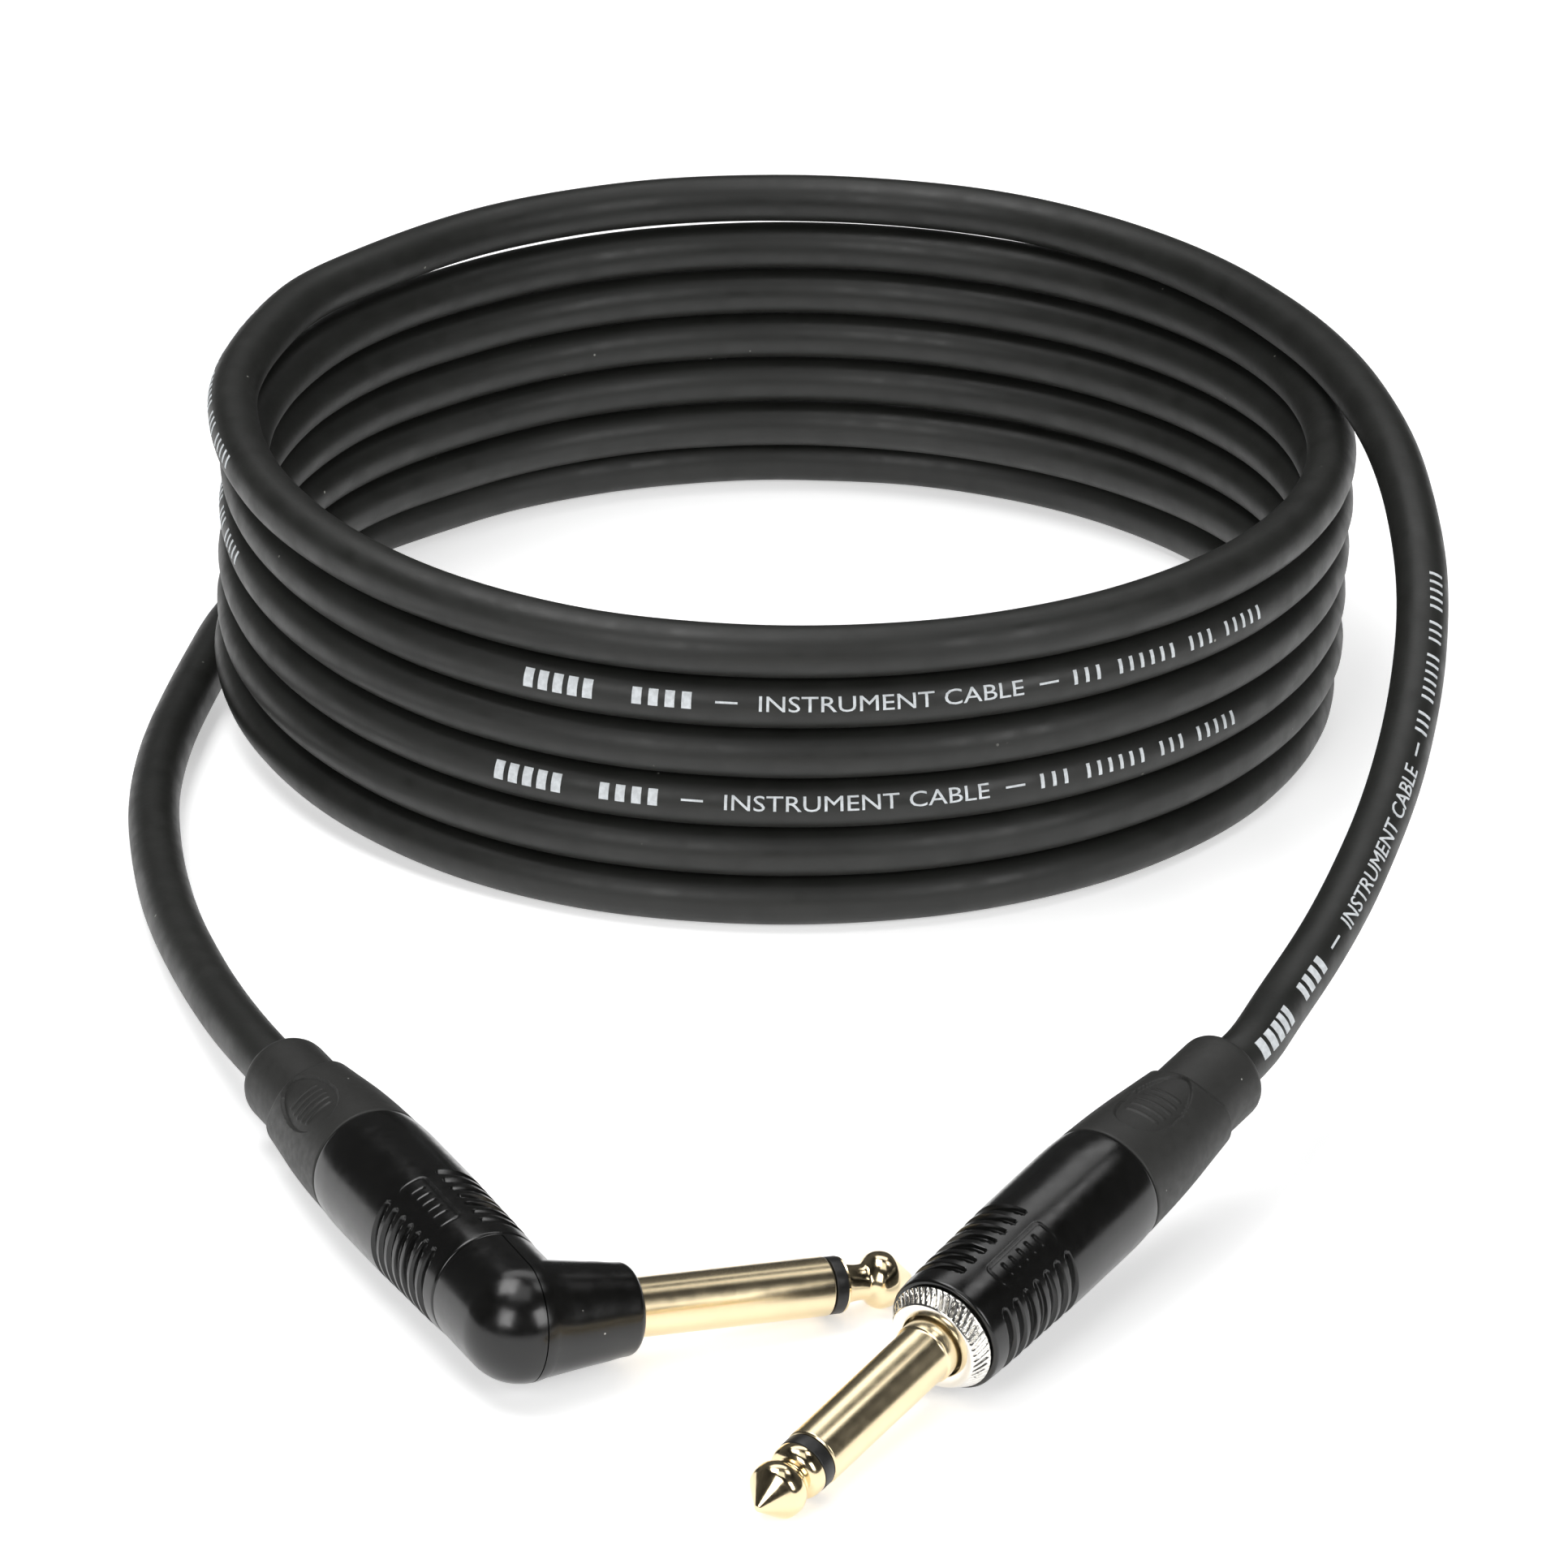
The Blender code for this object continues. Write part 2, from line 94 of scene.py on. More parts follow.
STRAIGHT_FWD = direction(STRAIGHT_HEADING, -STRAIGHT_DIP)
STRAIGHT_SIDE = Vector((-math.sin(STRAIGHT_HEADING), math.cos(STRAIGHT_HEADING), 0.0))
STRAIGHT_PIN = axis_matrix(COIL_CENTRE + STRAIGHT_APEX - PIN_L * MM * STRAIGHT_FWD,
                           STRAIGHT_FWD, STRAIGHT_SIDE)
STRAIGHT_BODY = axis_matrix(STRAIGHT_PIN.translation - SHELL_SETBACK * STRAIGHT_FWD,
                            STRAIGHT_FWD, STRAIGHT_SIDE)
ANGLE_FWD = direction(ANGLE_HEADING, ANGLE_RISE)
ANGLE_PIN_FWD = direction(PIN_HEADING, -PIN_DROP)
CORNER = COIL_CENTRE + CORNER_POINT
ANGLE_CORNER = axis_matrix(CORNER, ANGLE_FWD, ANGLE_PIN_FWD)
ANGLE_BODY = axis_matrix(CORNER - ELBOW_DROP * MM * ANGLE_FWD, ANGLE_FWD, ANGLE_PIN_FWD)
ANGLE_PIN = axis_matrix(CORNER + PIN_BASE * MM * ANGLE_PIN_FWD, ANGLE_PIN_FWD, -ANGLE_FWD)


def up_angle(place):
    """The angle round a body's axis that points up, in degrees."""
    x, y = place.col[0].xyz, place.col[1].xyz
    return math.degrees(math.atan2(y.z, x.z))


# ---------------------------------------------------------------- camera
CAMERA_TARGET = COIL_CENTRE + Vector((0.00108, -0.029, 0.0))
CAMERA_DISTANCE = 0.8212
CAMERA_RISE = math.radians(25.09)
CAMERA_ROLL = math.radians(0.8)
CAMERA_LENS = 152.41


def add_camera():
    """The photograph's camera: a long lens from the plugs' side."""
    data = bpy.data.cameras.new("camera")
    data.sensor_width = 36.0
    data.lens = CAMERA_LENS
    data.clip_end = 20.0
    camera = bpy.data.objects.new("camera", data)
    SCENE.collection.objects.link(camera)
    look = Vector((0.0, math.cos(CAMERA_RISE), -math.sin(CAMERA_RISE)))
    right = Vector((1.0, 0.0, 0.0))
    up = right.cross(look)
    right, up = (math.cos(CAMERA_ROLL) * right + math.sin(CAMERA_ROLL) * up,
                 math.cos(CAMERA_ROLL) * up - math.sin(CAMERA_ROLL) * right)
    turn = Matrix((right, up, -look)).transposed().to_4x4()
    camera.matrix_world = Matrix.Translation(CAMERA_TARGET - CAMERA_DISTANCE * look) @ turn
    SCENE.camera = camera


add_camera()


# ---------------------------------------------------------------- materials
class Shade:
    """Builds one node material around a Principled shader."""

    def __init__(self, name, color, roughness, metallic=0.0, **sockets):
        self.material = bpy.data.materials.new(name)
        self.material.use_nodes = True
        self.material.diffuse_color = (*color, 1.0)
        self.tree = self.material.node_tree
        self.shader = self.tree.nodes["Principled BSDF"]
        self.shader.inputs["Base Color"].default_value = (*color, 1.0)
        self.shader.inputs["Roughness"].default_value = roughness
        self.shader.inputs["Metallic"].default_value = metallic
        for key, value in sockets.items():
            self.shader.inputs[key.replace("_", " ")].default_value = value
        self.color = color
        self.place = self.node("ShaderNodeTexCoord").outputs["Object"]

    def node(self, kind, **inputs):
        """A new node with its inputs set or linked."""
        made = self.tree.nodes.new(kind)
        for key, value in inputs.items():
            self.feed(made.inputs[key.replace("_", " ")], value)
        return made

    def feed(self, socket, value):
        """Links an output to a socket, or sets the socket's own value."""
        if isinstance(value, bpy.types.NodeSocket):
            self.tree.links.new(value, socket)
        else:
            socket.default_value = value

    def noise(self, scale, detail=4.0, roughness=0.55, place=None):
        """Noise in cycles per metre."""
        made = self.node("ShaderNodeTexNoise", Vector=place or self.place, Scale=scale,
                         Detail=detail, Roughness=roughness)
        return made.outputs["Fac"]

    def stretched(self, scale, x, y, z):
        """Noise on unevenly scaled object coordinates, for streaks."""
        mapping = self.node("ShaderNodeMapping", Vector=self.place)
        mapping.inputs["Scale"].default_value = (x, y, z)
        return self.noise(scale, 3.0, 0.5, mapping.outputs["Vector"])

    def span(self, value, low, high, out_low, out_high):
        """A value moved from one range to another."""
        made = self.node("ShaderNodeMapRange", Value=value)
        made.inputs["From Min"].default_value = low
        made.inputs["From Max"].default_value = high
        made.inputs["To Min"].default_value = out_low
        made.inputs["To Max"].default_value = out_high
        return made.outputs["Result"]

    def mix(self, factor, first, second):
        """A blend of two colours."""
        made = self.tree.nodes.new("ShaderNodeMix")
        made.data_type = "RGBA"
        self.feed(made.inputs[0], factor)
        for socket, value in ((made.inputs[6], first), (made.inputs[7], second)):
            self.feed(socket, value if isinstance(value, bpy.types.NodeSocket) else (*value, 1.0))
        return made.outputs[2]

    def math(self, operation, first, second):
        """One arithmetic step."""
        made = self.tree.nodes.new("ShaderNodeMath")
        made.operation = operation
        self.feed(made.inputs[0], first)
        self.feed(made.inputs[1], second)
        return made.outputs[0]

    def tint(self, factor, light):
        """Base colour that drifts between its own value and a lighter one."""
        other = tuple(min(1.0, c * light) for c in self.color)
        self.color_out = self.mix(factor, self.color, other)
        self.feed(self.shader.inputs["Base Color"], self.color_out)

    def specks(self, scale, color, size):
        """Small scattered dust specks over the base colour."""
        cells = self.node("ShaderNodeTexVoronoi", Vector=self.place, Scale=scale)
        near = self.span(cells.outputs["Distance"], size, size * 0.6, 0.0, 1.0)
        keep = self.span(self.noise(scale * 0.21, 2.0), 0.62, 0.66, 0.0, 1.0)
        spot = self.math("MULTIPLY", near, keep)
        self.color_out = self.mix(spot, self.color_out, color)
        self.feed(self.shader.inputs["Base Color"], self.color_out)

    def gloss(self, factor, low, high):
        """Roughness that varies between two values."""
        self.feed(self.shader.inputs["Roughness"], self.span(factor, 0.3, 0.7, low, high))

    def bump(self, *layers):
        """Bump layers as (height output, distance in metres)."""
        last = None
        for height, distance in layers:
            made = self.node("ShaderNodeBump", Height=height, Distance=distance, Strength=1.0)
            if last is not None:
                self.feed(made.inputs["Normal"], last)
            last = made.outputs["Normal"]
        self.feed(self.shader.inputs["Normal"], last)


def make_materials():
    """Every finish of the object."""
    made = {}

    s = Shade("cord_pvc", (0.0115, 0.0120, 0.0105), 0.5, Specular_IOR_Level=0.5)
    cloud = s.noise(90.0)
    fine = s.noise(2600.0, 3.0)
    s.tint(s.span(cloud, 0.35, 0.7, 0.0, 1.0), 1.35)
    s.specks(420.0, (0.30, 0.30, 0.27), 0.09)
    s.gloss(s.noise(260.0), 0.40, 0.56)
    s.bump((fine, 0.000012), (s.noise(420.0, 2.0), 0.00003))
    made["cord_jacket"] = s.material

    s = Shade("gloss_shell", (0.0035, 0.0035, 0.0032), 0.2, Specular_IOR_Level=0.55)
    s.tint(s.span(s.noise(120.0), 0.4, 0.7, 0.0, 1.0), 1.6)
    s.specks(520.0, (0.45, 0.45, 0.42), 0.075)
    s.gloss(s.noise(700.0, 5.0), 0.18, 0.27)
    s.bump((s.noise(900.0, 2.0), 0.000004), (s.noise(5200.0, 2.0), 0.000002))
    made["gloss_black"] = s.material

    s = Shade("boot_rubber", (0.024, 0.024, 0.0225), 0.55, Specular_IOR_Level=0.4)
    s.tint(s.span(s.noise(150.0), 0.35, 0.7, 0.0, 1.0), 1.18)
    s.specks(560.0, (0.5, 0.5, 0.47), 0.075)
    s.gloss(s.noise(900.0), 0.46, 0.60)
    s.bump((s.noise(7000.0, 3.0), 0.000010), (s.noise(500.0, 2.0), 0.000012))
    made["boot_grey"] = s.material

    s = Shade("gold_plating", (0.86, 0.71, 0.45), 0.16, 1.0)
    s.tint(s.span(s.noise(220.0), 0.35, 0.7, 0.0, 1.0), 1.06)
    s.gloss(s.noise(1500.0, 6.0), 0.10, 0.20)
    s.bump((s.noise(300.0, 1.0), 0.0000004))
    made["gold_plate"] = s.material

    s = Shade("gold_plated_barrel", (0.86, 0.72, 0.47), 0.28, 1.0)
    s.tint(s.span(s.noise(220.0), 0.35, 0.7, 0.0, 1.0), 1.05)
    s.gloss(s.noise(700.0, 3.0), 0.21, 0.26)
    s.bump((s.noise(150.0, 1.0), 0.0000006))
    made["gold_barrel"] = s.material

    s = Shade("nickel_plating", (0.80, 0.78, 0.74), 0.18, 1.0)
    s.tint(s.span(s.noise(400.0), 0.35, 0.7, 0.0, 1.0), 1.1)
    s.gloss(s.noise(1800.0, 5.0), 0.12, 0.26)
    s.bump((s.noise(4200.0, 3.0), 0.000001))
    made["nickel_plate"] = s.material

    s = Shade("moulded_insulator", (0.012, 0.0118, 0.0115), 0.4)
    s.tint(s.span(s.noise(300.0), 0.35, 0.7, 0.0, 1.0), 1.5)
    s.gloss(s.noise(900.0), 0.32, 0.46)
    s.bump((s.noise(3000.0, 3.0), 0.000006))
    made["insulator_black"] = s.material

    s = Shade("natural_plastic", (0.66, 0.66, 0.62), 0.45, Subsurface_Weight=0.08,
              Subsurface_Scale=0.001)
    s.tint(s.span(s.noise(200.0), 0.35, 0.7, 0.0, 1.0), 1.08)
    s.gloss(s.noise(800.0), 0.38, 0.52)
    s.bump((s.noise(2600.0, 3.0), 0.000008))
    made["insulator_white"] = s.material

    s = Shade("copper_wire", (0.72, 0.38, 0.22), 0.28, 1.0)
    s.tint(s.span(s.noise(600.0), 0.35, 0.7, 0.0, 1.0), 1.25)
    s.gloss(s.noise(1800.0), 0.20, 0.36)
    s.bump((s.stretched(2600.0, 1.0, 1.0, 0.25), 0.00004))
    made["copper_strand"] = s.material

    s = Shade("print_ink", (0.62, 0.65, 0.67), 0.6)
    s.tint(s.span(s.noise(1500.0, 5.0), 0.4, 0.65, 0.0, 1.0), 1.25)
    s.gloss(s.noise(1200.0), 0.5, 0.7)
    s.bump((s.noise(5000.0, 2.0), 0.000008))
    made["print_ink"] = s.material
    return made


MATERIALS = make_materials()


# ---------------------------------------------------------------- mesh helpers
def add_piece(name, mesh, material, body, nodes=(), sharp=32.0):
    """Puts a finished mesh in the scene, on its body, for the CAD nodes it stands for."""
    mesh.materials.append(MATERIALS[material])
    mesh.shade_smooth()
    mesh.set_sharp_from_angle(angle=math.radians(sharp))
    obj = bpy.data.objects.new(name, mesh)
    SCENE.collection.objects.link(obj)
    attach(obj, body)
    if nodes:
        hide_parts(*nodes)
    return obj


def loop_mesh(name, place, rows, closed):
    """A skin over rings of points: rows is (count, round, 3) in local millimetres."""
    rows = np.asarray(rows, float)
    count, around, _ = rows.shape
    world = np.array(place)[:3, :3]
    verts = rows.reshape(-1, 3) @ world.T + np.array(place.translation)
    faces = []
    last = count if closed else count - 1
    for i in range(last):
        a, b = i * around, (i + 1) % count * around
        faces += [(a + j, a + (j + 1) % around, b + (j + 1) % around, b + j)
                  for j in range(around)]
    mesh = bpy.data.meshes.new(name)
    mesh.from_pydata([tuple(v) for v in verts], [], faces)
    clean = bmesh.new()
    clean.from_mesh(mesh)
    bmesh.ops.remove_doubles(clean, verts=clean.verts, dist=1e-7)
    bmesh.ops.dissolve_degenerate(clean, edges=clean.edges, dist=1e-7)
    bmesh.ops.recalc_face_normals(clean, faces=clean.faces)
    clean.to_mesh(mesh)
    clean.free()
    return mesh


def ring_rows(profile, around):
    """Rows of a turned profile of (radius, height) points."""
    angles = np.linspace(0.0, 2.0 * math.pi, around, endpoint=False)
    radius, height = np.array(profile, float).T
    return np.stack([radius[:, None] * np.cos(angles), radius[:, None] * np.sin(angles),
                     np.repeat(height[:, None], around, 1)], axis=2)


def turned_mesh(name, place, profile, around=96, closed=True):
    """A turned piece from a profile of (radius, height) in local millimetres."""
    return loop_mesh(name, place, ring_rows(profile, around), closed)


def rounded(profile, radius, steps=3):
    """The profile with every inner corner of a closed loop cut by a small round."""
    points = [Vector(p) for p in profile]
    out = []
    for i, here in enumerate(points):
        before, after = points[i - 1], points[(i + 1) % len(points)]
        a, b = before - here, after - here
        turn = a.angle(b) if a.length > 1e-6 and b.length > 1e-6 else math.pi
        if here.x < 1e-6 or turn > math.radians(165):
            out.append((here.x, here.y))
            continue
        cut = min(radius, 0.45 * a.length, 0.45 * b.length)
        start, end = here + a.normalized() * cut, here + b.normalized() * cut
        for k in range(steps + 1):
            t = k / steps
            p = (1 - t) ** 2 * start + 2 * t * (1 - t) * here + t * t * end
            out.append((p.x, p.y))
    return out


def arc(centre_r, centre_z, radius, start_deg, end_deg, count):
    """Points of a profile's round stretch."""
    angles = [math.radians(start_deg + (end_deg - start_deg) * i / count)
              for i in range(count + 1)]
    return [(centre_r + radius * math.cos(a), centre_z + radius * math.sin(a)) for a in angles]


def smooth(x, low, high):
    """Smooth step from 0 at low to 1 at high."""
    t = np.clip((x - low) / (high - low), 0.0, 1.0)
    return t * t * (3.0 - 2.0 * t)


# ---------------------------------------------------------------- the lead
def from_coil(x, y, z):
    """A place given from the coil's centre."""
    return COIL_CENTRE + Vector((x, y, z))


def plug_entry(place):
    """The jacket's line inside a plug, from the strip point to just behind the boot."""
    depths = (JACKET_START, SHELL_L, SHELL_L + BOOT_L - 10.0, SHELL_L + BOOT_L,
              SHELL_L + BOOT_L + 5.0)
    return [place @ Vector((0.0, 0.0, -d)) for d in depths]


# The two tails are points in metres from the coil's centre, and the top pass is (angle, radius)
ANGLE_TAIL = ((-0.0597, -0.1090, 0.0061), (-0.0634, -0.0990, 0.0053), (-0.0667, -0.0885, 0.0044),
              (-0.0697, -0.0780, 0.0038), (-0.0722, -0.0668, 0.0033), (-0.0741, -0.0555, 0.0032),
              (-0.0753, -0.0450, 0.0032), (-0.0756, -0.0350, 0.0032), (-0.0752, -0.0250, 0.0032),
              (-0.0743, -0.0160, 0.0032), (-0.0733, -0.0080, 0.0032), (-0.0722, 0.0, 0.0032))
STRAIGHT_TAIL = ((0.0560, -0.1200, 0.0163), (0.0602, -0.1108, 0.0178), (0.0639, -0.1019, 0.0195),
                 (0.0673, -0.0925, 0.0215), (0.0709, -0.0808, 0.0240), (0.0738, -0.0686, 0.0270),
                 (0.0760, -0.0555, 0.0305), (0.0771, -0.0420, 0.0342), (0.0768, -0.0295, 0.0374),
                 (0.0755, -0.0165, 0.0399), (0.0731, -0.0035, 0.0412))
TOP_PASS = ((9, 0.0703), (20, 0.0688), (34, 0.0683), (48, 0.0685), (65, 0.0689), (85, 0.0681),
            (105, 0.0677), (125, 0.0669), (145, 0.0663))
# How the turns stray, by the angle from the left: FIRST_TURN in millimetres of radius for the
# lowest turn, BACK_TWIST as a factor on the others' spread, BACK_SETTLING in pitches of height
FIRST_TURN = ((0, 4.0), (15, 2.5), (30, 0.8), (46, -0.6), (57, 0.0), (68, 0.5), (78, 1.1),
              (87, 1.9), (97, 2.5), (106, 3.5), (116, 3.9), (127, 4.1), (150, 3.4), (165, 1.9),
              (180, 0.6), (200, 0.0), (360, 0.0))
BACK_TWIST = ((0, 0.0), (20, -0.5), (46, -1.0), (57, -0.8), (68, -0.5), (87, -0.15), (97, 0.0),
              (106, 0.1), (127, 0.4), (157, 0.8), (180, 0.5), (205, 0.1), (230, 0.0), (360, 0.0))
BACK_SETTLING = ((0, 0.0), (20, -0.03), (46, -0.06), (90, -0.03), (127, 0.0), (360, 0.0))


def coil_turns():
    """Points round the coil; each turn climbs by one pitch between 285 and 400 degrees."""
    rng = random.Random(5)
    waves = [(rng.uniform(0.7, 3.3), rng.uniform(0, 6.28), rng.uniform(0.02, 0.06))
             for _ in range(9)]
    points = []
    for turn in np.arange(8.0, 2188.0, 8.0):
        level = sum(float(smooth(turn, 360 * k + 285, 360 * k + 400)) for k in range(COIL_TURNS))
        if turn < 360.0:
            spread = np.interp(turn, *zip(*FIRST_TURN))
        elif turn < 2100.0:
            spread = (2.55 - 0.25 * level) * np.interp(turn % 360.0, *zip(*BACK_TWIST))
            level += np.interp(turn % 360.0, *zip(*BACK_SETTLING))
        else:
            spread = np.interp(turn, (2100.0, 2140.0, 2160.0, 2178.0), (0.0, 1.3, 1.8, 1.0))
        z = CORD_R + float(level) * TURN_PITCH
        radius = COIL_R + MM * float(spread)
        radius += MM * sum(a * math.sin(f * math.radians(turn) + p) for f, p, a in waves)
        angle = math.radians(180.0 - turn)
        lean = 0.044 * (z - 0.0159)
        points.append(from_coil(radius * math.cos(angle) + lean, radius * math.sin(angle), z))
    return points


def lead_route():
    """The whole lead's centreline, from the right-angle plug to the straight plug."""
    top = [from_coil(r * math.cos(math.radians(a)), r * math.sin(math.radians(a)), TOP_LEVEL)
           for a, r in reversed(TOP_PASS)]
    knots = [*plug_entry(ANGLE_BODY), *[from_coil(*p) for p in ANGLE_TAIL], *coil_turns(), *top]
    knots += [*[from_coil(*p) for p in reversed(STRAIGHT_TAIL)],
              *reversed(plug_entry(STRAIGHT_BODY))]
    knots = np.array([tuple(k) for k in knots])
    gaps = np.linalg.norm(np.diff(knots, axis=0), axis=1)
    span = np.concatenate([[0.0], np.cumsum(np.sqrt(gaps))])
    padded = np.vstack([2 * knots[0] - knots[1], knots, 2 * knots[-1] - knots[-2]])
    when = np.concatenate([[2 * span[0] - span[1]], span, [2 * span[-1] - span[-2]]])
    fine = []
    for i in range(1, len(padded) - 2):
        t0, t1, t2, t3 = when[i - 1:i + 3]
        p0, p1, p2, p3 = padded[i - 1:i + 3]
        for t in np.linspace(t1, t2, 16, endpoint=False):
            a1 = (t1 - t) / (t1 - t0) * p0 + (t - t0) / (t1 - t0) * p1
            a2 = (t2 - t) / (t2 - t1) * p1 + (t - t1) / (t2 - t1) * p2
            a3 = (t3 - t) / (t3 - t2) * p2 + (t - t2) / (t3 - t2) * p3
            b1 = (t2 - t) / (t2 - t0) * a1 + (t - t0) / (t2 - t0) * a2
            b2 = (t3 - t) / (t3 - t1) * a2 + (t - t1) / (t3 - t1) * a3
            fine.append((t2 - t) / (t2 - t1) * b1 + (t - t1) / (t2 - t1) * b2)
    fine = resample(np.array([*fine, knots[-1]]), 0.002)
    hold = np.ones(len(fine))
    held = int((SHELL_L + BOOT_L - JACKET_START) / 2.0) + 1
    hold[:held] = hold[-held:] = 0.0
    hold[held:held + 6] = np.linspace(0.1, 0.9, 6)
    hold[-held - 6:-held] = np.linspace(0.9, 0.1, 6)
    for _ in range(30):
        for share in (0.5, -0.52):
            pull = np.zeros_like(fine)
            pull[1:-1] = (fine[:-2] + fine[2:]) / 2 - fine[1:-1]
            fine = fine + share * hold[:, None] * pull
    fine[:, 2] = np.maximum(fine[:, 2], CORD_R + 0.00002)
    return resample(fine, 0.002)


def resample(points, step):
    """The same line with points an even distance apart."""
    run = np.concatenate([[0.0], np.cumsum(np.linalg.norm(np.diff(points, axis=0), axis=1))])
    at = np.linspace(0.0, run[-1], int(round(run[-1] / step)) + 1)
    return np.stack([np.interp(at, run, points[:, k]) for k in range(3)], axis=1)


def cross_directions(path):
    """Two steady directions across a line at each of its points."""
    tangent = np.gradient(path, axis=0)
    tangent /= np.linalg.norm(tangent, axis=1)[:, None]
    normal = np.zeros_like(path)
    first = np.cross(tangent[0], (0.0, 0.0, 1.0))
    normal[0] = first / np.linalg.norm(first)
    for i in range(1, len(path)):
        n = normal[i - 1] - normal[i - 1] @ tangent[i] * tangent[i]
        normal[i] = n / np.linalg.norm(n)
    return normal, np.cross(tangent, normal)


def tube_mesh(name, path, radius, around):
    """A closed tube along a line; radius may differ from ring to ring."""
    normal, other = cross_directions(path)
    angles = np.linspace(0.0, 2.0 * math.pi, around, endpoint=False)
    radius = np.broadcast_to(radius, len(path))[:, None, None]
    rows = path[:, None, :] + radius * (np.cos(angles)[None, :, None] * normal[:, None, :]
                                        + np.sin(angles)[None, :, None] * other[:, None, :])
    faces = []
    for i in range(len(path) - 1):
        a, b = i * around, (i + 1) * around
        faces += [(a + j, a + (j + 1) % around, b + (j + 1) % around, b + j)
                  for j in range(around)]
    faces.append(tuple(reversed(range(around))))
    faces.append(tuple(range((len(path) - 1) * around, len(path) * around)))
    mesh = bpy.data.meshes.new(name)
    mesh.from_pydata([tuple(v) for v in rows.reshape(-1, 3)], [], faces)
    clean = bmesh.new()
    clean.from_mesh(mesh)
    bmesh.ops.recalc_face_normals(clean, faces=clean.faces)
    clean.to_mesh(mesh)
    clean.free()
    return mesh


# The printed line on the jacket: strokes as (start, end, height) and a generic wording
PRINT_STROKES = [(0.2 + 1.8 * i, 1.35 + 1.8 * i, 2.3) for i in range(5)]
PRINT_STROKES += [(13.2 + 1.9 * i, 14.3 + 1.9 * i, 2.0) for i in range(4)]
PRINT_STROKES += [(22.7, 25.2, 0.26), (60.0, 62.4, 0.26)]
PRINT_STROKES += [(64.4 + 1.53 * i, 64.85 + 1.53 * i, 1.75) for i in range(20)
                  if i not in (3, 10, 14)]
PRINT_WORDS = ("INSTRUMENT CABLE", 27.6, 58.0, 1.85)


def flat_print(strokes, words):
    """The printed line laid out flat, in millimetres, cut up so that it can bend."""
    flat = bmesh.new()
    text, start, end, height = words
    curve = bpy.data.curves.new("words", "FONT")
    curve.body = text
    curve.resolution_u = 3
    holder = bpy.data.objects.new("words", curve)
    letters = bpy.data.meshes.new_from_object(holder)
    bpy.data.objects.remove(holder)
    points = np.array([v.co[:2] for v in letters.vertices])
    low, high = points.min(axis=0), points.max(axis=0)
    for vertex in letters.vertices:
        u = start + (end - start) * (vertex.co.x - low[0]) / (high[0] - low[0])
        vertex.co = (u, height * ((vertex.co.y - low[1]) / (high[1] - low[1]) - 0.5), 0.0)
    flat.from_mesh(letters)
    for first, last, tall in strokes:
        corners = ((first, -tall / 2), (last, -tall / 2), (last, tall / 2), (first, tall / 2))
        flat.faces.new([flat.verts.new((u, v, 0.0)) for u, v in corners])
    for axis, cuts in ((1, np.arange(-1.2, 1.21, 0.4)), (0, np.arange(2.5, 100.0, 2.5))):
        for cut in cuts:
            place, normal = [0.0, 0.0, 0.0], [0.0, 0.0, 0.0]
            place[axis], normal[axis] = float(cut), 1.0
            everything = [*flat.verts, *flat.edges, *flat.faces]
            bmesh.ops.bisect_plane(flat, geom=everything, plane_co=place, plane_no=normal)
    grown = bmesh.ops.extrude_face_region(flat, geom=list(flat.faces))["geom"]
    for item in grown:
        if isinstance(item, bmesh.types.BMVert):
            item.co.z = 1.0
    return flat


def add_print(name, path, start, outward):
    """One printed line that begins at a distance along the lead and runs back along it."""
    run = np.concatenate([[0.0], np.cumsum(np.linalg.norm(np.diff(path, axis=0), axis=1))])
    tangent = np.gradient(path, axis=0)
    flat = flat_print(PRINT_STROKES, PRINT_WORDS)
    for vertex in flat.verts:
        at = start - vertex.co.x * MM
        here = Vector([float(np.interp(at, run, path[:, k])) for k in range(3)])
        along = -Vector([float(np.interp(at, run, tangent[:, k])) for k in range(3)]).normalized()
        out = outward(here)
        out = (out - out.dot(along) * along).normalized()
        turn = vertex.co.y * MM / CORD_R
        reach = CORD_R + (0.000045 if vertex.co.z > 0.5 else -0.00008)
        vertex.co = here + reach * (math.cos(turn) * out + math.sin(turn) * out.cross(along))
    bmesh.ops.recalc_face_normals(flat, faces=flat.faces)
    mesh = bpy.data.meshes.new(name)
    flat.to_mesh(mesh)
    flat.free()
    return add_piece(name, mesh, "print_ink", "root", (), 20.0)


def coil_outward(here):
    """Outward from the coil's axis and a little up."""
    away = here - COIL_CENTRE
    return Vector((away.x, away.y, 0.0)).normalized() + Vector((0.0, 0.0, 0.33))


def tail_outward(_here):
    """Towards the front, where the straight plug's tail carries its print."""
    return Vector((0.30, -0.85, 0.42))


def add_prints(path):
    """The printed line where it faces out: twice in front, twice on the left, once on the tail."""
    points = coil_turns()
    run = np.concatenate([[0.0], np.cumsum(np.linalg.norm(np.diff(path, axis=0), axis=1))])
    pieces = []
    for number, (turn, ahead) in enumerate(((1735.1, 0.0), (1018.0, 0.0), (2139.0, 0.098),
                                            (1419.0, 0.098))):
        near = np.array(points[int(turn // 8) - 1])
        at = run[np.argmin(np.linalg.norm(path - near, axis=1))]
        at += (turn % 8.0) * math.radians(1.0) * COIL_R + ahead
        pieces.append(add_print(f"lead_print_{number + 1}", path, at, coil_outward))
    at = run[-1] - MM * (SHELL_L + BOOT_L - JACKET_START + 3.0)
    pieces.append(add_print("lead_print_5", path, at, tail_outward))
    return pieces


